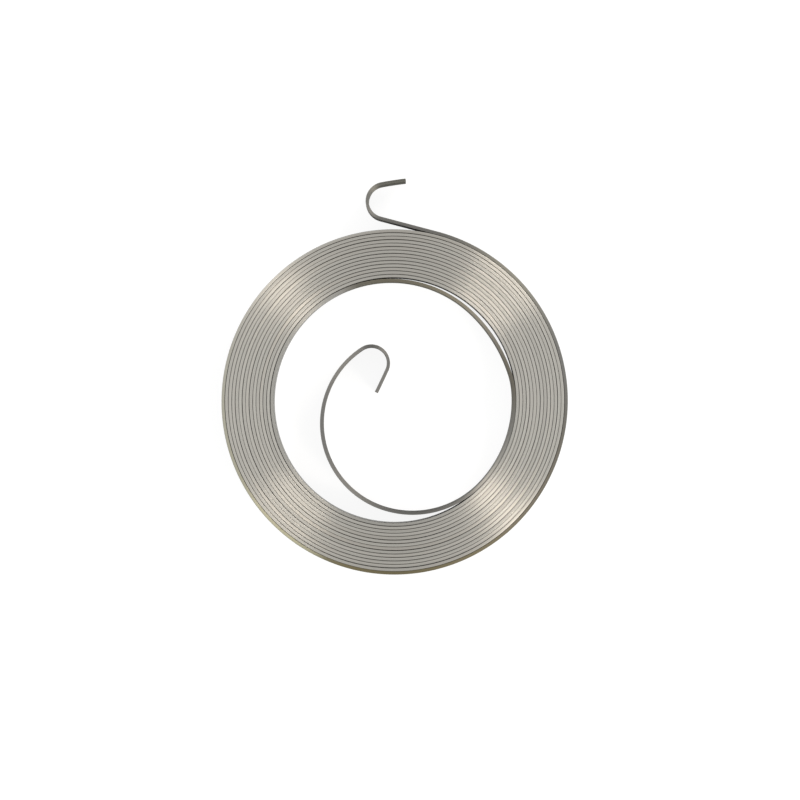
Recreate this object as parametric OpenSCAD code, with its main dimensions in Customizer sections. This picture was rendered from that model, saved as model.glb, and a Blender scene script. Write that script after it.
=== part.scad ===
// Recoil starter spring: one flat spring-steel strip, wound on edge into a pack of close turns.
// The inner tail crosses the eye to a hook for the starter reel, and the outer tail leaves the
// pack in a straight run to a hook, bent the other way, for the starter housing.
// Millimetres, +Z up. The winding axis is Z and the strip stands on the plane Z = 0.

/* [Strip] */
// Thickness of the strip
strip_t = 0.6; // [0.3:0.05:1]
// Width of the strip, which is the height of the spring
strip_w = 8; // [4:0.5:14]

/* [Coil] */
// Mid-line radius where the inner tail joins the innermost turn
coil_r = 22.9; // [21:0.1:30]
// Number of full turns in the pack
full_turns = 15; // [2:1:20]
// Wrap beyond the full turns, from the inner tail's joint to the outer tail's joint
wrap = 118.9; // [20:0.1:170]
// Clearance between neighbouring turns
turn_gap = 0.06; // [0.04:0.01:0.2]

/* [Loose inner turn] */
// How far the innermost turn bows in from the pack
bow_depth = 0.65; // [0.1:0.01:0.9]
// Wrap from the inner tail's joint to the start of the bow
bow_start = 47; // [10:1:48]
// Arc over which the turn dips away from the pack
bow_dip = 15; // [12:1:16]
// Flatter arc that follows the dip
bow_flat = 28; // [20:1:30]
// Arc over which the turn eases back to the pack
bow_ease = 85; // [60:1:85]

/* [Inner tail] */
// Mid-line radius of the lead from the innermost turn into the sweep
lead_r = 17.95; // [15:0.05:20]
// Turn of the lead
lead_turn = 65; // [30:0.5:70]
// Mid-line radius of the sweep across the eye
sweep_r = 17.05; // [14:0.05:19]
// Turn of the sweep across the eye
sweep_turn = 128; // [80:0.5:130]
// Mid-line radius of the inner hook
inner_hook_r = 3.25; // [2:0.05:5]
// Turn of the inner hook
inner_hook_turn = 148.1; // [60:0.1:170]
// Radius of the inner hook's leg, which closes in a little and is all but straight
inner_leg_r = 300; // [40:1:400]
// Turn of the inner hook's leg
inner_leg_turn = 0.9; // [0.5:0.1:1.2]

/* [Outer tail] */
// Straight run from the pack to the outer hook
run_l = 11.25; // [6:0.05:20]
// Angle by which the straight run falls towards +X
run_slope = 14.8; // [0:0.1:30]
// Mid-line radius of the outer hook
outer_hook_r = 3.35; // [2:0.05:5]
// Turn of the outer hook, against the winding
outer_hook_turn = 154.5; // [60:0.5:175]
// Radius of the outer hook's leg, which closes in a little
outer_leg_r = 67; // [20:1:200]
// Turn of the outer hook's leg
outer_leg_turn = 4; // [0.5:0.1:5]

/* [Hidden] */
$fn = 96;
grid = 0.001;
half_turn = 180;
quarter = half_turn / 2;

// The pack is wound in half-turns, about two centres a quarter pitch each side of the axis.
// It is drawn with the straight run along +X, then turned to give that run its slope.
pitch = strip_t + turn_gap;
first_r = coil_r + pitch / 4;
half_turns = 2 * full_turns;
joint = -wrap - quarter;
lie = half_turn - run_slope;

// The bow is a flat arc between two tighter ones that rejoin the half-turn's own circle. Each arc's
// centre moves along the normal where it begins, and the moves add up to nothing over the bow.
bow_span = bow_dip + bow_flat + bow_ease;
dip_move = along(0) - along(bow_dip);
flat_move = along(bow_span - bow_ease) - along(bow_dip);
ease_move = along(bow_span - bow_ease) - along(bow_span);
dip_share = cross(ease_move, flat_move) / cross(dip_move, ease_move);
ease_share = cross(flat_move, dip_move) / cross(dip_move, ease_move);
flat_rise = bow_depth / (norm(dip_share * dip_move - along(bow_dip)) - 1);

// A run is [radius, turn], with left turns positive, or [length, 0] where it is straight
bowed_runs = [
    [first_r, bow_start],
    [first_r - flat_rise * dip_share, bow_dip],
    [first_r + flat_rise, bow_flat],
    [first_r - flat_rise * ease_share, bow_ease],
    [first_r, half_turn - bow_start - bow_span]
];
inner_runs = [
    [lead_r, -lead_turn],
    [sweep_r, -sweep_turn],
    [inner_hook_r, -inner_hook_turn],
    [inner_leg_r, -inner_leg_turn]
];
outer_runs = [
    [turn_r(half_turns), wrap],
    [run_l, 0],
    [outer_hook_r, -outer_hook_turn],
    [outer_leg_r, -outer_leg_turn]
];

// A pose is [point, heading]. Left of a heading is the side that left turns curve to.
function along(heading) = [cos(heading), sin(heading)];
function left_of(heading) = [-sin(heading), cos(heading)];
function centre(pose, run) = pose[0] + sign(run[1]) * run[0] * left_of(pose[1]);
function run_end(pose, run) = run[1] == 0
    ? [pose[0] + run[0] * along(pose[1]), pose[1]]
    : [centre(pose, run) - sign(run[1]) * run[0] * left_of(pose[1] + run[1]), pose[1] + run[1]];
function poses(start, runs) =
    [for (i = 0, pose = start; i < len(runs); pose = run_end(pose, runs[i]), i = i + 1) pose];

// Radius and centre of a half-turn, counted from the inner tail's joint, and where it starts
function turn_r(k) = first_r + k * pitch / 2;
function turn_centre(k) = (k % 2 == 0 ? -1 : 1) * pitch / 4 * along(joint);
function turn_start(k) = joint + k % 2 * half_turn;

// Moves by a round step and then by the remainder, so that runs meet face to face
module place(move) {
    step = [for (m = move) grid * round(m / grid)];
    translate(step)
        translate(move - step)
            children();
}

// Section of the strip, standing on its lower edge
module section() {
    translate([-strip_t / 2, 0])
        square([strip_t, strip_w]);
}

// The one straight run lies along +X as drawn
module straight(pose, length) {
    place(pose[0])
        translate([0, -strip_t / 2, 0])
            cube([length, strip_t, strip_w]);
}

module bend(pose, run) {
    turn = abs(run[1]);
    place(centre(pose, run))
        rotate_extrude(angle = turn, start = run[1] > 0 ? pose[1] - quarter : pose[1] + quarter - turn)
            place([run[0], 0])
                section();
}

// Strip along a list of runs, from a starting pose
module strip(start, runs) {
    starts = poses(start, runs);
    for (i = [0:len(runs) - 1])
        if (runs[i][1] == 0)
            straight(starts[i], runs[i][0]);
        else
            bend(starts[i], runs[i]);
}

// Every second half-turn of the pack from the first one given: they share a centre
module half_pack(first) {
    place(turn_centre(first))
        rotate_extrude(angle = half_turn, start = turn_start(first))
            for (k = [first:2:half_turns - 1])
                place([turn_r(k), 0])
                    section();
}

module pack() {
    strip([coil_r * along(joint), joint + quarter], bowed_runs);
    half_pack(1);
    half_pack(2);
}

module inner_tail() {
    strip([coil_r * along(joint), joint - quarter], inner_runs);
}

// Begins with the last part of a turn, which ends where the straight run leaves the pack
module outer_tail() {
    start = turn_centre(half_turns) + turn_r(half_turns) * along(joint);
    strip([start, joint + quarter], outer_runs);
}

module recoil_spring() {
    color("#a8a59c")
        rotate([0, 0, lie]) {
            pack();
            inner_tail();
            outer_tail();
        }
}

recoil_spring();
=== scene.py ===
"""Recoil starter spring: one strip of spring steel, wound on edge, lying in a plain white studio.

The strip follows the same runs as the part's solid, from the inner tip to the outer tip, and has
rounded corners, a drawn steel finish and painted shade on its faces and corners. Sizes in the
classes are in millimetres and degrees, unless they say otherwise; meshes, lamps and the camera are
in metres, in the frame of the part.
"""

import logging
import math
from dataclasses import dataclass
from enum import Enum

import bpy
import numpy as np
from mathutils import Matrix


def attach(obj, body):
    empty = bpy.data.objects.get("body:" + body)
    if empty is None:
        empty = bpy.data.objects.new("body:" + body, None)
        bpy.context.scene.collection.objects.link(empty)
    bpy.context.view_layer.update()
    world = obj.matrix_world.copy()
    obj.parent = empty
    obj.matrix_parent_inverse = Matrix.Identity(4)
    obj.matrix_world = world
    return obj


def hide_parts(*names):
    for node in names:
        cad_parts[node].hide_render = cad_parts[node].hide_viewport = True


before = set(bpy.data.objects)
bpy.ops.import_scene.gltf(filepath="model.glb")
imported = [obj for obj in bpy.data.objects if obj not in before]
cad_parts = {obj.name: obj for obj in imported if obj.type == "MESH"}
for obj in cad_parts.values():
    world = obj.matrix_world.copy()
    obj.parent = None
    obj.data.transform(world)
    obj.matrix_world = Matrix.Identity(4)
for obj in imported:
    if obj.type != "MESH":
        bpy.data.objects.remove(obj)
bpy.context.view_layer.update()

MM = 0.001
HALF_TURN = 180.0
QUARTER_TURN = 90.0
COLOUR_A, COLOUR_B, COLOUR_RESULT = 6, 7, 2
ARC = "arc_length"
DRESSED = "dressed_edge"
STRIP_UV = "strip"
LOG = logging.getLogger("recoil_spring")


class Hand(Enum):
    """Side towards which a run of strip bends, seen from above and along the strip."""

    LEFT = 1
    STRAIGHT = 0
    RIGHT = -1


@dataclass(frozen=True)
class Pose:
    """Place and heading of the strip's mid-line: millimetres and degrees."""

    x: float
    y: float
    heading: float


@dataclass(frozen=True)
class Run:
    """One run of the strip's mid-line: an arc of a radius and a turn, or a straight of a length.

    Attributes:
        size: Radius of the arc, or length of the straight.
        turn: Turn of the arc.
        hand: Side towards which it bends.
    """

    size: float
    turn: float = 0.0
    hand: Hand = Hand.LEFT

    def length(self) -> float:
        """Length of the run along its mid-line: the radius times the turn in radians.

        Returns:
            Length in millimetres.
        """
        if self.hand is Hand.STRAIGHT:
            return self.size
        return self.size * math.radians(self.turn)

    def backwards(self) -> "Run":
        """The same run walked from its far end, which bends to the other side.

        Returns:
            The reversed run.
        """
        return Run(self.size, self.turn, Hand(-self.hand.value))

    def walk(self, start: Pose, share: np.ndarray) -> np.ndarray:
        """Points of the run at given shares of its length.

        On an arc the heading grows evenly, and the point is the centre less the radius times the
        left normal of that heading. On a straight the point moves along the one heading.

        Args:
            start: Where the run begins.
            share: Shares of the run's length, from 0 to 1.

        Returns:
            One row per share: x and y in millimetres and the heading in degrees.
        """
        side = self.hand.value
        heading = start.heading + side * self.turn * share
        if self.hand is Hand.STRAIGHT:
            angle = math.radians(start.heading)
            x = start.x + self.size * share * math.cos(angle)
            y = start.y + self.size * share * math.sin(angle)
        else:
            angle, first = np.radians(heading), math.radians(start.heading)
            x = start.x + side * self.size * (np.sin(angle) - math.sin(first))
            y = start.y - side * self.size * (np.cos(angle) - math.cos(first))
        return np.stack([x, y, heading], axis=1)

    def end(self, start: Pose) -> Pose:
        """Where the run ends if it begins at a pose.

        Args:
            start: Where the run begins.

        Returns:
            Pose at its far end.
        """
        return Pose(*self.walk(start, np.array([1.0]))[0])


@dataclass
class Winding:
    """Mid-line of the strip: the inner tail, the close turns and the outer tail.

    The sizes down to the outer leg's turn are those of the solid.

    Attributes:
        pitch: Distance from a turn to the next.
        coil_r: Radius where the inner tail joins the innermost turn.
        full_turns: Full turns of the pack.
        wrap: Turn beyond the full turns, up to the outer tail's straight run.
        lie: Azimuth of the inner tail's joint.
        bow_depth: How far the innermost half-turn bows in from the pack.
        bow_start: Turn from the joint to the bow.
        bow_dip: Turn over which it dips away from the pack.
        bow_flat: Turn of the flatter arc after that.
        bow_ease: Turn over which it eases back.
        lead_r: Radius of the lead from the innermost turn.
        lead_turn: Turn of the lead.
        sweep_r: Radius of the sweep across the eye.
        sweep_turn: Turn of the sweep.
        inner_hook_r: Radius of the inner hook.
        inner_hook_turn: Turn of the inner hook.
        inner_leg_r: Radius of the inner hook's leg.
        inner_leg_turn: Turn of the inner hook's leg.
        run_l: Length of the outer tail's straight run.
        outer_hook_r: Radius of the outer hook.
        outer_hook_turn: Turn of the outer hook.
        outer_leg_r: Radius of the outer hook's leg.
        outer_leg_turn: Turn of the outer hook's leg.
        stray: Height of each wave by which the turns stray from an even winding.
        stray_waves: Lengths of the two waves along the strip.
        stray_fade: Length over which the waves rise and fall at the ends of the pack.
        slack: How far the innermost turn hangs off the pack past its bow.
        slack_at: Arc length at which the slack is greatest.
        slack_reach: Width of the slack's bell curve.
        ring_turn: Largest turn from one drawn section to the next.
        ring_gap: Largest length from one drawn section to the next.
    """

    pitch: float = 0.66
    coil_r: float = 22.9
    full_turns: int = 15
    wrap: float = 118.9
    lie: float = -43.7
    bow_depth: float = 0.65
    bow_start: float = 47.0
    bow_dip: float = 15.0
    bow_flat: float = 28.0
    bow_ease: float = 85.0
    lead_r: float = 17.95
    lead_turn: float = 65.0
    sweep_r: float = 17.05
    sweep_turn: float = 128.0
    inner_hook_r: float = 3.25
    inner_hook_turn: float = 148.1
    inner_leg_r: float = 300.0
    inner_leg_turn: float = 0.9
    run_l: float = 11.25
    outer_hook_r: float = 3.35
    outer_hook_turn: float = 154.5
    outer_leg_r: float = 67.0
    outer_leg_turn: float = 4.0
    stray: float = 0.011
    stray_waves: tuple[float, float] = (131.0, 73.0)
    stray_fade: float = 90.0
    slack: float = 0.05
    slack_at: float = 156.0
    slack_reach: float = 22.0
    ring_turn: float = 1.4
    ring_gap: float = 1.2

    def inner_tail(self) -> list[Run]:
        """Runs of the inner tail, from the coil to the tip.

        Returns:
            The lead, the sweep, the hook and its leg.
        """
        return [
            Run(self.lead_r, self.lead_turn, Hand.RIGHT),
            Run(self.sweep_r, self.sweep_turn, Hand.RIGHT),
            Run(self.inner_hook_r, self.inner_hook_turn, Hand.RIGHT),
            Run(self.inner_leg_r, self.inner_leg_turn, Hand.RIGHT),
        ]

    def outer_tail(self) -> list[Run]:
        """Runs of the outer tail, from the last whole turn of the coil to the tip.

        Returns:
            The last part of a turn, the straight run, the hook and its leg.
        """
        last_r = self.coil_r + self.pitch * (self.full_turns + 1 / 4)
        return [
            Run(last_r, self.wrap),
            Run(self.run_l, 0, Hand.STRAIGHT),
            Run(self.outer_hook_r, self.outer_hook_turn, Hand.RIGHT),
            Run(self.outer_leg_r, self.outer_leg_turn, Hand.RIGHT),
        ]

    def bowed_half_turn(self, radius: float) -> list[Run]:
        """Runs of the innermost half-turn, which bows in from the pack.

        A tight arc dips away from the half-turn's own circle, a flatter one follows, and a slow
        one eases back. Each arc's centre moves along the normal where it begins, by the change of
        radius, and the moves add up to nothing over the bow. That gives the three radii for a
        flat arc that rises by one over the circle's radius, and the depth then sets the scale.

        Args:
            radius: Radius of the half-turn's own circle.

        Returns:
            The five runs in the order of winding.
        """
        span = self.bow_dip + self.bow_flat + self.bow_ease
        turns = np.radians([0.0, self.bow_dip, self.bow_dip + self.bow_flat, span])
        start, dipped, flattened, eased = np.stack([np.cos(turns), np.sin(turns)], axis=1)
        moves = np.stack([start - dipped, flattened - eased], axis=1)
        dip, ease = np.linalg.solve(moves, dipped - flattened)
        rise = self.bow_depth / (np.linalg.norm(dip * (start - dipped) - dipped) - 1)
        return [
            Run(radius, self.bow_start),
            Run(radius - rise * dip, self.bow_dip),
            Run(radius + rise, self.bow_flat),
            Run(radius - rise * ease, self.bow_ease),
            Run(radius, HALF_TURN - self.bow_start - span),
        ]

    def runs(self) -> list[Run]:
        """All runs in order, from the inner tip to the outer tip.

        Each half-turn of the pack is wider than the one before by half the pitch.

        Returns:
            The runs of the whole strip.
        """
        first_r = self.coil_r + self.pitch / 4
        halves = 2 * self.full_turns
        turns = [Run(first_r + k * self.pitch / 2, HALF_TURN) for k in range(1, halves)]
        return [
            *[run.backwards() for run in reversed(self.inner_tail())],
            *self.bowed_half_turn(first_r),
            *turns,
            *self.outer_tail(),
        ]

    def inner_tip(self) -> Pose:
        """Pose of the inner tip, found by walking the inner tail from the coil.

        Returns:
            The tip, heading along the strip towards the coil.
        """
        angle = math.radians(self.lie)
        x, y = self.coil_r * math.cos(angle), self.coil_r * math.sin(angle)
        pose = Pose(x, y, self.lie - QUARTER_TURN)
        for run in self.inner_tail():
            pose = run.end(pose)
        return Pose(pose.x, pose.y, pose.heading + HALF_TURN)

    def rings(self, lip: float) -> tuple[np.ndarray, np.ndarray]:
        """Stations along the mid-line at which the section is drawn.

        Each run is shared out evenly, in steps of about the ring turn or the ring gap, whichever
        is finer. Two more stations stand a lip's length inside the two tips.

        Args:
            lip: Length of the dressed lip at each tip.

        Returns:
            Rows of x, y in millimetres and heading in degrees, and the arc length of each row.
        """
        pose, passed, rows, arcs = self.inner_tip(), 0.0, [], []
        runs = self.runs()
        for run in runs:
            length = run.length()
            count = max(math.ceil(run.turn / self.ring_turn), math.ceil(length / self.ring_gap))
            share = np.arange(count) / count
            if run is runs[0]:
                share = np.insert(share, 1, lip / length)
            if run is runs[-1]:
                share = np.append(share, [1 - lip / length, 1.0])
            rows.append(run.walk(pose, share))
            arcs.append(passed + share * length)
            pose, passed = run.end(pose), passed + length
        stations, arc = np.concatenate(rows), np.concatenate(arcs)
        heading = np.radians(stations[:, 2])
        left = np.stack([-np.sin(heading), np.cos(heading)], axis=1)
        stations[:, :2] += self.straying(arc)[:, None] * left
        return stations, arc

    def straying(self, arc: np.ndarray) -> np.ndarray:
        """How far the turns stray to the left of an even winding.

        The sum of two sine waves of the arc length, whose lengths don't divide a turn, so that no
        two gaps are alike. The waves rise from nothing where the pack begins and fall back to
        nothing before its outermost half-turn. A bell curve adds the slack of the innermost turn.

        Args:
            arc: Arc lengths from the inner tip, in millimetres.

        Returns:
            One sideways shift in millimetres per arc length.
        """
        runs = self.runs()
        tails = len(self.inner_tail()), len(self.outer_tail())
        first = sum(run.length() for run in runs[: tails[0]])
        last = sum(run.length() for run in runs[: -tails[1]]) - runs[-tails[1] - 1].length()
        rise = np.clip((arc - first) / self.stray_fade, 0, 1)
        fall = np.clip((last - arc) / self.stray_fade, 0, 1)
        waves = sum(np.sin(2 * math.pi * arc / wave) for wave in self.stray_waves)
        slack = self.slack * np.exp(-(((arc - self.slack_at) / self.slack_reach) ** 2))
        return self.stray * rise * fall * waves + slack


@dataclass
class StripSection:
    """Section of the strip: two flat faces and two flat edges, with dressed corners.

    Attributes:
        thickness: Distance between the faces.
        width: Distance between the edges.
        corner_r: Radius of the dressed corners.
        corner_points: Points round each corner.
    """

    thickness: float = 0.6
    width: float = 8.0
    corner_r: float = 0.08
    corner_points: int = 5

    def outline(self) -> tuple[np.ndarray, np.ndarray, np.ndarray]:
        """Points round the section, with their normals and their places along its outline.

        A corner is a quarter of a circle: its centre plus the radius times the normal, while the
        normal turns from a face to an edge. The upper edge runs from the right face to the left
        face, and the lower one is its mirror image, run back again.

        Returns:
            Points and unit normals as rows of (left, up), and the distance from the first point,
            with one more value for the way round back to it.
        """
        inside = self.thickness / 2 - self.corner_r
        quarter = np.linspace(0, math.pi / 2, self.corner_points)
        angle = np.concatenate([math.pi - quarter, quarter[::-1]])
        normal = np.stack([np.cos(angle), np.sin(angle)], axis=1)
        sideways = np.repeat([-inside, inside], self.corner_points)
        centre = np.stack([sideways, np.full(angle.size, self.width - self.corner_r)], axis=1)
        up = centre + self.corner_r * normal
        turned = np.array([1.0, -1.0])
        down = np.array([0.0, self.width]) + turned * up[::-1]
        points = np.concatenate([up, down])
        normals = np.concatenate([normal, turned * normal[::-1]])
        steps = np.linalg.norm(np.roll(points, -1, axis=0) - points, axis=1)
        return points, normals, np.concatenate([[0.0], np.cumsum(steps)])


class NodeTree:
    """Short ways to add and join the nodes of one tree."""

    def __init__(self, tree: bpy.types.NodeTree) -> None:
        """Keeps the tree.

        Args:
            tree: The nodes of a material or of the world.
        """
        self.tree = tree

    def only(self, kind: str) -> bpy.types.Node:
        """The first node of a kind that the tree already has.

        Args:
            kind: Type of node.

        Returns:
            The node.
        """
        return next(node for node in self.tree.nodes if node.bl_idname == kind)

    def add(self, kind: str, **settings: object) -> bpy.types.Node:
        """Adds a node and sets some of its properties.

        Args:
            kind: Type of node.
            **settings: Properties and their values.

        Returns:
            The node.
        """
        node = self.tree.nodes.new(kind)
        for name, value in settings.items():
            setattr(node, name, value)
        return node

    def link(self, source: object, target: bpy.types.NodeSocket) -> None:
        """Joins a socket to an input, or sets the input to a number or a colour.

        Args:
            source: The socket, number or colour.
            target: The input.
        """
        if isinstance(source, bpy.types.NodeSocket):
            self.tree.links.new(source, target)
        elif isinstance(source, tuple):
            target.default_value = (*source, 1.0)
        else:
            target.default_value = source

    def math(self, operation: str, first: object, second: object) -> bpy.types.NodeSocket:
        """One sum of two sockets or numbers.

        Args:
            operation: Kind of sum.
            first: Left side of the sum.
            second: Right side of the sum.

        Returns:
            The socket with the result.
        """
        node = self.add("ShaderNodeMath", operation=operation)
        self.link(first, node.inputs[0])
        self.link(second, node.inputs[1])
        return node.outputs[0]

    def ramp(
        self, source: bpy.types.NodeSocket, low: float, high: float, at_low: float, at_high: float
    ) -> bpy.types.NodeSocket:
        """Smooth change from one value to another while a socket goes from low to high.

        Args:
            source: The socket that is read.
            low: Value of the socket at which the change begins.
            high: Value at which it ends, which may be the smaller of the two.
            at_low: Result at low and before it.
            at_high: Result at high and past it.

        Returns:
            The socket with the result.
        """
        node = self.add("ShaderNodeMapRange", interpolation_type="SMOOTHSTEP")
        for name, value in zip(
            ("From Min", "From Max", "To Min", "To Max"), (low, high, at_low, at_high)
        ):
            node.inputs[name].default_value = value
        self.link(source, node.inputs["Value"])
        return node.outputs["Result"]

    def band(
        self, source: bpy.types.NodeSocket, start: float, end: float, height: float
    ) -> bpy.types.NodeSocket:
        """Smooth rise and fall of a value over one stretch of a length.

        Args:
            source: The length, in metres.
            start: Where the value begins to rise from nothing, in millimetres.
            end: Where it is back to nothing, in millimetres.
            height: The value half-way.

        Returns:
            The socket with the value.
        """
        middle = (start + end) / 2
        rise = self.ramp(source, start * MM, middle * MM, 0, height)
        return self.math("MULTIPLY", rise, self.ramp(source, middle * MM, end * MM, 1, 0))

    def scaled(
        self, vector: bpy.types.NodeSocket, scale: tuple[float, float, float]
    ) -> bpy.types.NodeSocket:
        """A vector stretched along its axes.

        Args:
            vector: The socket that is read.
            scale: Stretch along each axis.

        Returns:
            The socket with the stretched vector.
        """
        node = self.add("ShaderNodeMapping")
        node.inputs["Scale"].default_value = scale
        self.link(vector, node.inputs["Vector"])
        return node.outputs["Vector"]

    def noise(self, vector: bpy.types.NodeSocket, detail: float) -> bpy.types.NodeSocket:
        """Soft random grain over a vector, one grain to a unit.

        Args:
            vector: The socket that is read.
            detail: Fineness of the grain.

        Returns:
            The socket with the grain, from 0 to 1.
        """
        node = self.add("ShaderNodeTexNoise")
        node.inputs["Scale"].default_value = 1.0
        node.inputs["Detail"].default_value = detail
        self.link(vector, node.inputs["Vector"])
        return node.outputs["Fac"]

    def mix(self, share: object, first: object, second: object) -> bpy.types.NodeSocket:
        """Two colours mixed by a share of the second one.

        The node has a socket of each name for every type of value, and those for colours are
        picked by their place.

        Args:
            share: Share of the second colour.
            first: The first colour.
            second: The second colour.

        Returns:
            The socket with the mixed colour.
        """
        node = self.add("ShaderNodeMix", data_type="RGBA")
        self.link(share, node.inputs["Factor"])
        self.link(first, node.inputs[COLOUR_A])
        self.link(second, node.inputs[COLOUR_B])
        return node.outputs[COLOUR_RESULT]


@dataclass(frozen=True)
class HeatedEnd:
    """Colours left by heat on one end of the strip, by distance from its tip in millimetres.

    Attributes:
        bare_to: Where the oxide, thinner at the tip, is whole.
        thin_from: Where the stretch of thin oxide begins.
        thin_to: Where that stretch ends.
        brown_from: Where brown begins to show.
        brown_full: Where it is strongest.
        deep_from: Where the deep band begins.
        deep_to: Where the deep band ends.
        oxide_to: Where the oxide begins to give way.
        bright_from: Where the oxide is gone.
        tint_to: Where the last tint is gone.
        bare: Share of oxide that is missing at the tip.
        thin: Share of oxide that is missing in the thin stretch.
        brown: Share of brown where it is strongest.
        tint: Colour beyond the oxide.
    """

    bare_to: float
    thin_from: float
    thin_to: float
    brown_from: float
    brown_full: float
    deep_from: float
    deep_to: float
    oxide_to: float
    bright_from: float
    tint_to: float
    bare: float
    thin: float
    brown: float
    tint: tuple[float, float, float]


@dataclass(frozen=True)
class SteelFinish:
    """Bright rolled spring strip, with grey oxide and a brown tint on its heat-treated ends, and
    painted shade on its faces and dressed corners.

    A span is the two values of a grain, or of the dressing, between which something changes. The
    dressing is 0 on a face, 1 on an edge, and the height of the normal on a corner between them.

    Attributes:
        name: Name of the material.
        bright: Colour of the bare steel.
        oxide: Colour of the grey oxide.
        brown: Colour of the brown.
        deep: Colour of the deep band.
        inner: Heat colours of the inner end.
        outer: Heat colours of the outer end.
        deep_share: Share of the deep colour in the middle of its band.
        glancing: Tint of reflections at a glancing view.
        drawn_grain: Grains to the metre along and round the strip, in the drawn streaks.
        patch_grain: Grains to the metre along and round the strip, in the patches.
        grain_detail: Fineness of both grains.
        stain: Colour of the stained patches.
        stain_share: Strongest share of the stain.
        stain_span: Span of the patches in which the stain comes in.
        painted_face_shade: Painted shade: tone of a face beside that of an edge, darkened to stand in
            for the shade in the gaps between the turns and the dark that the faces reflect.
        painted_shade_span: Span of the dressing in which the painted shade lifts to the edge's tone.
        streak_span: Span of the drawn streaks in which their tone changes.
        streak_tone: Tones of the drawn streaks.
        patch_span: Span of the patches in which tone and roughness change.
        patch_tone: Tones of the patches.
        patch_wear: Roughness of the patches, beside the plain one.
        face_roughness: Roughness of the faces.
        corner_roughness: Roughness of the dressed corners.
        edge_roughness: Roughness of the edges.
        rounding_span: Span of the dressing from the face's roughness to the corner's.
        levelling_span: Span of the dressing from the corner's roughness to the edge's.
        oxide_roughness: Roughness that full oxide adds.
        drawn_share: Strength of the sheen across the drawn lines.
        drawn_turn: Turn of that sheen, in full turns.
        groove_depth: Depth of the drawn lines.
        groove_span: Span of the dressing in which the lines grow stronger.
        groove_strength: Strength of the lines on a face and on an edge.
    """

    name: str = "spring_steel"
    bright: tuple[float, float, float] = (0.60, 0.578, 0.525)
    oxide: tuple[float, float, float] = (0.34, 0.336, 0.32)
    brown: tuple[float, float, float] = (0.36, 0.312, 0.175)
    deep: tuple[float, float, float] = (0.215, 0.198, 0.155)
    inner: HeatedEnd = HeatedEnd(
        bare_to=5, thin_from=58, thin_to=94, brown_from=92, brown_full=118, deep_from=80, deep_to=108,
        oxide_to=127, bright_from=137, tint_to=330, bare=0.0, thin=0.6, brown=0.45,
        tint=(0.50, 0.485, 0.445),
    )
    outer: HeatedEnd = HeatedEnd(
        bare_to=14, thin_from=22, thin_to=60, brown_from=78, brown_full=104, deep_from=58, deep_to=116,
        oxide_to=128, bright_from=138, tint_to=200, bare=0.3, thin=0.25, brown=0.9,
        tint=(0.45, 0.435, 0.31),
    )
    deep_share: float = 0.8
    glancing: tuple[float, float, float] = (0.78, 0.78, 0.76)
    drawn_grain: tuple[float, float, float] = (5.0, 9000.0, 1.0)
    patch_grain: tuple[float, float, float] = (14.0, 500.0, 1.0)
    grain_detail: float = 3.0
    stain: tuple[float, float, float] = (0.50, 0.45, 0.38)
    stain_share: float = 0.3
    stain_span: tuple[float, float] = (0.5, 0.75)
    painted_face_shade: float = 0.5
    painted_shade_span: tuple[float, float] = (0.3, 0.95)
    streak_span: tuple[float, float] = (0.25, 0.75)
    streak_tone: tuple[float, float] = (0.86, 1.08)
    patch_span: tuple[float, float] = (0.3, 0.7)
    patch_tone: tuple[float, float] = (0.93, 1.05)
    patch_wear: tuple[float, float] = (0.88, 1.15)
    face_roughness: float = 0.22
    corner_roughness: float = 0.52
    edge_roughness: float = 0.27
    rounding_span: tuple[float, float] = (0.1, 0.5)
    levelling_span: tuple[float, float] = (0.92, 0.995)
    oxide_roughness: float = 0.5
    drawn_share: float = 1.0
    drawn_turn: float = 0.25
    groove_depth: float = 0.005
    groove_span: tuple[float, float] = (0.2, 0.9)
    groove_strength: tuple[float, float] = (0.05, 1.0)

    def heated(
        self, tree: NodeTree, body: object, from_tip: bpy.types.NodeSocket, end: HeatedEnd
    ) -> tuple[bpy.types.NodeSocket, bpy.types.NodeSocket]:
        """Lays the colours of one heated end over the body colour.

        The end's tint fades out last, and grey oxide covers it nearer to the tip, thinner at the tip
        itself and over one stretch. Brown lies over the far part of the oxide, and a deep band
        crosses both.

        Args:
            tree: The material's nodes.
            body: Colour of the strip before.
            from_tip: Distance from the tip in metres.
            end: Where the colours begin and end.

        Returns:
            Colour of the strip after, and the share of oxide on it.
        """
        tinted = tree.ramp(from_tip, end.tint_to * MM, end.bright_from * MM, 0, 1)
        oxide = tree.ramp(from_tip, end.bright_from * MM, end.oxide_to * MM, 0, 1)
        thin = tree.band(from_tip, end.thin_from, end.thin_to, end.thin)
        oxide = tree.math("SUBTRACT", oxide, thin)
        bare = tree.ramp(from_tip, 0, end.bare_to * MM, end.bare, 0)
        oxide = tree.math("SUBTRACT", oxide, bare)
        brown = tree.ramp(from_tip, end.brown_from * MM, end.brown_full * MM, 0, end.brown)
        deep = tree.band(from_tip, end.deep_from, end.deep_to, self.deep_share)
        coat = tree.mix(deep, tree.mix(brown, self.oxide, self.brown), self.deep)
        return tree.mix(oxide, tree.mix(tinted, body, end.tint), coat), oxide

    def material(self, strip_length: float) -> bpy.types.Material:
        """Node material of the strip.

        Reads the arc length for the heated ends, the dressing for what sets faces, corners and
        edges apart, and the UV map, in metres along and round the strip, for the grain.

        Args:
            strip_length: Length of the whole strip in millimetres.

        Returns:
            The material.
        """
        material = bpy.data.materials.new(self.name)
        material.use_nodes = True
        tree = NodeTree(material.node_tree)
        shader = tree.only("ShaderNodeBsdfPrincipled")
        arc = tree.add("ShaderNodeAttribute", attribute_name=ARC).outputs["Fac"]
        uv = tree.add("ShaderNodeUVMap", uv_map=STRIP_UV).outputs["UV"]
        dressed = tree.add("ShaderNodeAttribute", attribute_name=DRESSED).outputs["Fac"]
        drawn = tree.noise(tree.scaled(uv, self.drawn_grain), self.grain_detail)
        patchy = tree.noise(tree.scaled(uv, self.patch_grain), self.grain_detail)

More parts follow.
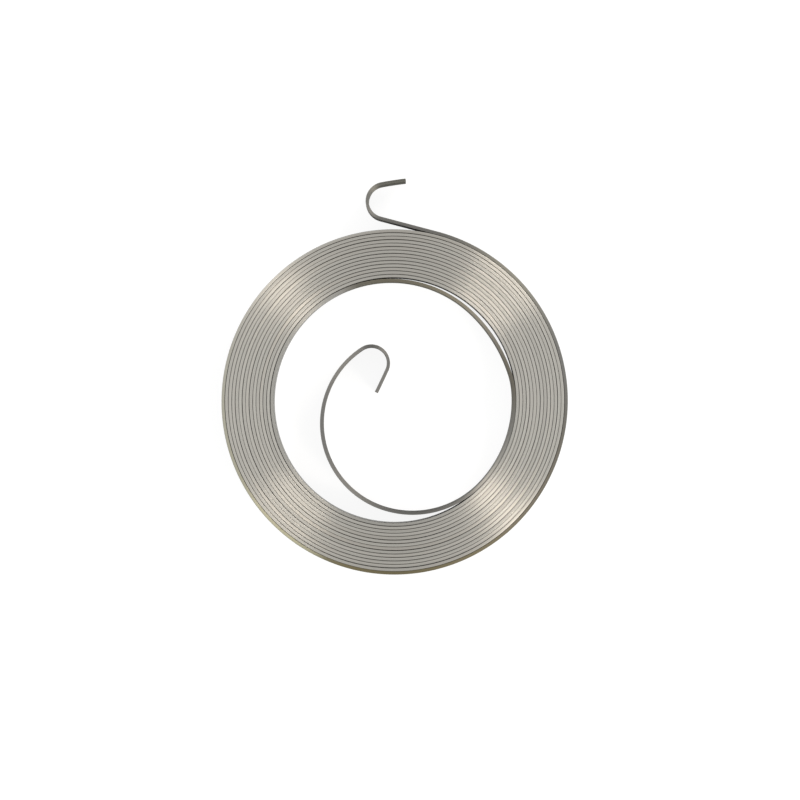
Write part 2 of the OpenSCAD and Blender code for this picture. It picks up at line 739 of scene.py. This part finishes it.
        tip = tree.math("SUBTRACT", strip_length * MM, arc)
        body, inner_oxide = self.heated(tree, self.bright, arc, self.inner)
        body, outer_oxide = self.heated(tree, body, tip, self.outer)
        oxide = tree.math("MAXIMUM", inner_oxide, outer_oxide)
        stained = tree.mix(tree.ramp(patchy, *self.stain_span, 0, self.stain_share), body, self.stain)
        # Painted shade: the faces, and the dressed corners in part, are darkened to stand in for the
        # shade in the gaps between the turns and the dark that the faces reflect.
        painted_shade = tree.ramp(dressed, *self.painted_shade_span, self.painted_face_shade, 1.0)
        streaks = tree.ramp(drawn, *self.streak_span, *self.streak_tone)
        patches = tree.ramp(patchy, *self.patch_span, *self.patch_tone)
        # Tone of the colour: the drawn streaks and the patches, which are the steel's own, times the
        # painted shade.
        value = tree.math("MULTIPLY", tree.math("MULTIPLY", streaks, painted_shade), patches)
        colour = tree.add("ShaderNodeHueSaturation")
        tree.link(stained, colour.inputs["Color"])
        tree.link(value, colour.inputs["Value"])
        tree.link(colour.outputs["Color"], shader.inputs["Base Color"])
        rounding = tree.ramp(dressed, *self.rounding_span, self.face_roughness, self.corner_roughness)
        smoother = self.edge_roughness - self.corner_roughness
        plain = tree.math("ADD", rounding, tree.ramp(dressed, *self.levelling_span, 0, smoother))
        worn = tree.ramp(patchy, *self.patch_span, *self.patch_wear)
        dull = tree.math("MULTIPLY", oxide, self.oxide_roughness)
        rough = tree.math("ADD", tree.math("MULTIPLY", plain, worn), dull)
        tree.link(rough, shader.inputs["Roughness"])
        shader.inputs["Metallic"].default_value = 1.0
        shader.inputs["Specular Tint"].default_value = (*self.glancing, 1.0)
        shader.inputs["Anisotropic"].default_value = self.drawn_share
        shader.inputs["Anisotropic Rotation"].default_value = self.drawn_turn
        lay = tree.add("ShaderNodeTangent", direction_type="UV_MAP", uv_map=STRIP_UV)
        tree.link(lay.outputs["Tangent"], shader.inputs["Tangent"])

        bump = tree.add("ShaderNodeBump")
        grooved = tree.ramp(dressed, *self.groove_span, *self.groove_strength)
        tree.link(grooved, bump.inputs["Strength"])
        bump.inputs["Distance"].default_value = self.groove_depth * MM
        tree.link(drawn, bump.inputs["Height"])
        tree.link(bump.outputs["Normal"], shader.inputs["Normal"])
        return material


@dataclass
class RecoilSpring:
    """The spring: its strip, swept along the winding and dressed as steel.

    Attributes:
        winding: Mid-line of the strip.
        section: Section of the strip.
        finish: Its steel.
        name: Name of the strip's object.
        body: Body that it rides on.
        node: Node of the solid that it stands for.
        slot: Material slot of that node; not used.
        lip: Size of the dressed lip round each tip.
    """

    winding: Winding
    section: StripSection
    finish: SteelFinish
    name: str = "spring_strip"
    body: str = "root"
    node: str = "recoil_spring"
    slot: str = "spring_steel"
    lip: float = 0.05

    def surface(self) -> dict[str, np.ndarray]:
        """The strip as arrays: the section carried along the mid-line.

        A vertex is the mid-line's point, plus the left normal of its heading times the section's
        place to the left, plus the section's height. At the two tips the section is drawn in by a
        lip along its own normals, and each tip is closed by quads across the strip.

        Returns:
            Vertices with their arc lengths and shares of dressed edge, quads, and a normal and a UV
            for every corner of the quads.
        """
        stations, arc = self.winding.rings(self.lip)
        points, normals, around = self.section.outline()
        rings, count = len(stations), len(points)
        heading = np.radians(stations[:, 2])
        left = np.stack([-np.sin(heading), np.cos(heading)], axis=1)
        ahead = np.stack([np.cos(heading), np.sin(heading), np.zeros(rings)], axis=1)
        inset = np.zeros((rings, 1, 1))
        inset[[0, -1]] = self.lip
        profile = points[None] - inset * normals[None]
        flat = stations[:, None, :2] + profile[:, :, :1] * left[:, None]
        vertices = np.concatenate([flat, profile[:, :, 1:]], axis=2) * MM
        facing = np.concatenate(
            [normals[None, :, :1] * left[:, None], np.repeat(normals[None, :, 1:], rings, axis=0)],
            axis=2,
        ).reshape(-1, 3)

        ring, place = np.meshgrid(np.arange(rings - 1), np.arange(count), indexing="ij")
        onward = (place + 1) % count
        sides = np.stack(
            [
                ring * count + place,
                (ring + 1) * count + place,
                (ring + 1) * count + onward,
                ring * count + onward,
            ],
            axis=2,
        ).reshape(-1, 4)
        near = np.arange(count // 2 - 1)
        cap = np.stack([near, near + 1, count - 2 - near, count - 1 - near], axis=1)
        last = (rings - 1) * count
        quads = np.concatenate([sides, cap, last + cap[:, ::-1]])

        corner_normals = np.concatenate(
            [
                facing[sides].reshape(-1, 3),
                np.repeat(-ahead[:1], 4 * len(cap), axis=0),
                np.repeat(ahead[-1:], 4 * len(cap), axis=0),
            ]
        )
        along = np.stack([ring, ring + 1, ring + 1, ring], axis=2).reshape(-1)
        across = np.stack([place, place, place + 1, place + 1], axis=2).reshape(-1)
        ends = np.concatenate([cap.reshape(-1), cap[:, ::-1].reshape(-1)])
        end_arc = np.repeat([arc[0], arc[-1]], 4 * len(cap))
        corner_uv = np.stack(
            [
                np.concatenate([arc[along], end_arc]),
                np.concatenate([around[across], around[ends]]),
            ],
            axis=1,
        )
        return {
            "vertices": vertices.reshape(-1, 3),
            "arc": np.repeat(arc, count) * MM,
            "dressed": np.tile(np.abs(normals[:, 1]), rings),
            "quads": quads,
            "normals": corner_normals,
            "uv": corner_uv * MM,
        }

    def build(self) -> bpy.types.Object:
        """Makes the strip's object, dresses it and sets it in place of the solid.

        Returns:
            The strip.
        """
        arrays = self.surface()
        mesh = bpy.data.meshes.new(self.name)
        mesh.from_pydata(arrays["vertices"], [], arrays["quads"])
        mesh.polygons.foreach_set("use_smooth", np.ones(len(arrays["quads"]), dtype=bool))
        for name, key in ((ARC, "arc"), (DRESSED, "dressed")):
            layer = mesh.attributes.new(name, "FLOAT", "POINT")
            layer.data.foreach_set("value", arrays[key].astype(np.float32))
        layer = mesh.uv_layers.new(name=STRIP_UV)
        layer.data.foreach_set("uv", arrays["uv"].astype(np.float32).ravel())
        mesh.normals_split_custom_set(arrays["normals"])
        mesh.materials.append(self.finish.material(arrays["arc"][-1] / MM))
        strip = bpy.data.objects.new(self.name, mesh)
        bpy.context.scene.collection.objects.link(strip)
        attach(strip, self.body)
        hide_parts(self.node)
        return strip


@dataclass(frozen=True)
class Lamp:
    """A soft square lamp, aimed at the spring.

    Attributes:
        name: Name of the lamp.
        azimuth: Its direction from +X, in degrees.
        spread: Range of azimuth that it covers, in degrees.
        power: Its power in watts.
        colour: Colour of its light.
        tilt: Its direction from the vertical, in degrees.
        distance: Its distance from the spring, in metres.
    """

    name: str
    azimuth: float
    spread: float
    power: float
    colour: tuple[float, float, float] = (1.0, 0.91, 0.81)
    tilt: float = 48.0
    distance: float = 1.2

    def place(self) -> bpy.types.Object:
        """Puts the lamp at its azimuth from +X and its tilt from the vertical.

        Returns:
            The lamp.
        """
        light = bpy.data.lights.new(self.name, "AREA")
        light.shape = "SQUARE"
        reach = self.distance * math.sin(math.radians(self.tilt))
        light.size = 2 * reach * math.tan(math.radians(self.spread / 2))
        light.energy = self.power
        light.color = self.colour
        lamp = bpy.data.objects.new(self.name, light)
        azimuth, tilt = math.radians(self.azimuth), math.radians(self.tilt)
        lamp.location = (
            self.distance * math.sin(tilt) * math.cos(azimuth),
            self.distance * math.sin(tilt) * math.sin(azimuth),
            self.distance * math.cos(tilt),
        )
        lamp.rotation_euler = (0, tilt, azimuth)
        bpy.context.scene.collection.objects.link(lamp)
        return lamp


@dataclass
class Studio:
    """White floor, soft light from all round, four lamps and the camera straight above.

    Attributes:
        floor_r: Radius of the floor in metres.
        floor_points: Points round its rim.
        floor_colour: Colour of the floor under the light.
        floor_lift: Light of its own that lifts it to white.
        zenith: Strength of the light from above.
        sideways: Strength that the sides add.
        sideways_power: Power of the square of x by which it falls off.
        lengthways: Strength that the front and the back add, less than nothing here.
        diagonal: Strength that the diagonals add.
        eye: Place of the camera over the floor, in millimetres.
        eye_height: Its height in millimetres.
        lens: Its focal length in millimetres.
        sensor: Width of its sensor in millimetres.
    """

    floor_r: float = 4.0
    floor_points: int = 96
    floor_colour: tuple[float, float, float] = (0.2, 0.2, 0.2)
    floor_lift: float = 0.89
    zenith: float = 0.80
    sideways: float = 1.5
    sideways_power: float = 6.0
    lengthways: float = -0.80
    diagonal: float = 0.8
    eye: tuple[float, float] = (1.180, 0.209)
    eye_height: float = 768.0
    lens: float = 179.6
    sensor: float = 36.0

    def floor(self) -> bpy.types.Object:
        """A round white floor under the spring.

        The disc is one face: a point of its rim is the radius times the cosine and the sine of its
        angle. It keeps shadows, and a light of its own lifts it to white where the camera sees it
        straight or in a reflection.

        Returns:
            The floor.
        """
        angle = np.linspace(0, 2 * math.pi, self.floor_points, endpoint=False)
        rim = self.floor_r * np.stack([np.cos(angle), np.sin(angle), np.zeros(angle.size)], axis=1)
        mesh = bpy.data.meshes.new("floor")
        mesh.from_pydata(rim, [], [np.arange(angle.size)])
        material = bpy.data.materials.new("white_floor")
        material.use_nodes = True
        tree = NodeTree(material.node_tree)
        tree.tree.nodes.remove(tree.only("ShaderNodeBsdfPrincipled"))
        matt = tree.add("ShaderNodeBsdfDiffuse")
        matt.inputs["Color"].default_value = (*self.floor_colour, 1.0)
        seen = tree.add("ShaderNodeLightPath").outputs
        direct = tree.math("MAXIMUM", seen["Is Camera Ray"], seen["Is Glossy Ray"])
        direct = tree.math("MAXIMUM", direct, seen["Is Transmission Ray"])
        lift = tree.add("ShaderNodeEmission")
        tree.link(tree.math("MULTIPLY", direct, self.floor_lift), lift.inputs["Strength"])
        both = tree.add("ShaderNodeAddShader")
        tree.link(matt.outputs[0], both.inputs[0])
        tree.link(lift.outputs[0], both.inputs[1])
        tree.link(both.outputs[0], tree.only("ShaderNodeOutputMaterial").inputs["Surface"])
        mesh.materials.append(material)
        floor = bpy.data.objects.new("floor", mesh)
        bpy.context.scene.collection.objects.link(floor)
        return floor

    def world(self) -> None:
        """Soft light from all round, brighter from the sides than from the front and the back.

        The strength is the zenith's, plus the sideways share times the twelfth power of the
        direction's x, plus the lengthways share times the square of its y, plus the diagonal share
        times the square of twice the product of both.
        """
        world = bpy.data.worlds.new("studio")
        bpy.context.scene.world = world
        world.use_nodes = True
        tree = NodeTree(world.node_tree)
        split = tree.add("ShaderNodeSeparateXYZ")
        tree.link(tree.add("ShaderNodeTexCoord").outputs["Generated"], split.inputs[0])
        x, y = split.outputs["X"], split.outputs["Y"]
        across, along = tree.math("MULTIPLY", x, x), tree.math("MULTIPLY", y, y)
        sides = tree.math("POWER", across, self.sideways_power)
        wide = tree.math("MULTIPLY", sides, self.sideways)
        deep = tree.math("MULTIPLY", along, self.lengthways)
        slant = tree.math("MULTIPLY", tree.math("MULTIPLY", across, along), 4 * self.diagonal)
        level = tree.math("ADD", slant, self.zenith)
        strength = tree.math("ADD", tree.math("ADD", wide, deep), level)
        sky = tree.only("ShaderNodeBackground")
        sky.inputs["Color"].default_value = (1.0, 1.0, 1.0, 1.0)
        tree.link(strength, sky.inputs["Strength"])

    def lamps(self) -> list[bpy.types.Object]:
        """The lamps, in two pairs, whose light runs across the turns as four beams.

        Returns:
            The lamps.
        """
        lamps = [
            Lamp("key_lamp", azimuth=315.5, spread=12.5, power=2.9),
            Lamp("key_halo", azimuth=316, spread=26, power=1.5),
            Lamp("fill_lamp", azimuth=40, spread=13, power=2.5),
            Lamp("fill_lamp_low", azimuth=53, spread=12, power=2.2),
        ]
        return [lamp.place() for lamp in lamps]

    def camera(self) -> bpy.types.Object:
        """The camera, straight above the spring and a little off its axis.

        Returns:
            The camera.
        """
        data = bpy.data.cameras.new("camera")
        data.sensor_width = self.sensor
        data.lens = self.lens
        camera = bpy.data.objects.new("camera", data)
        camera.location = (self.eye[0] * MM, self.eye[1] * MM, self.eye_height * MM)
        bpy.context.scene.collection.objects.link(camera)
        bpy.context.scene.camera = camera
        return camera

    def build(self) -> None:
        """Sets up the floor, the light and the camera."""
        self.floor()
        self.world()
        self.lamps()
        self.camera()
        bpy.context.scene.view_settings.view_transform = "Standard"


def main() -> None:
    """Builds the spring and the studio round it."""
    logging.basicConfig(level=logging.INFO, format="%(name)s: %(message)s")
    strip = RecoilSpring(Winding(), StripSection(), SteelFinish()).build()
    LOG.info("%s: %d faces", strip.name, len(strip.data.polygons))
    Studio().build()
    LOG.info("studio: floor, world, lamps and camera")


if __name__ == "__main__":
    main()
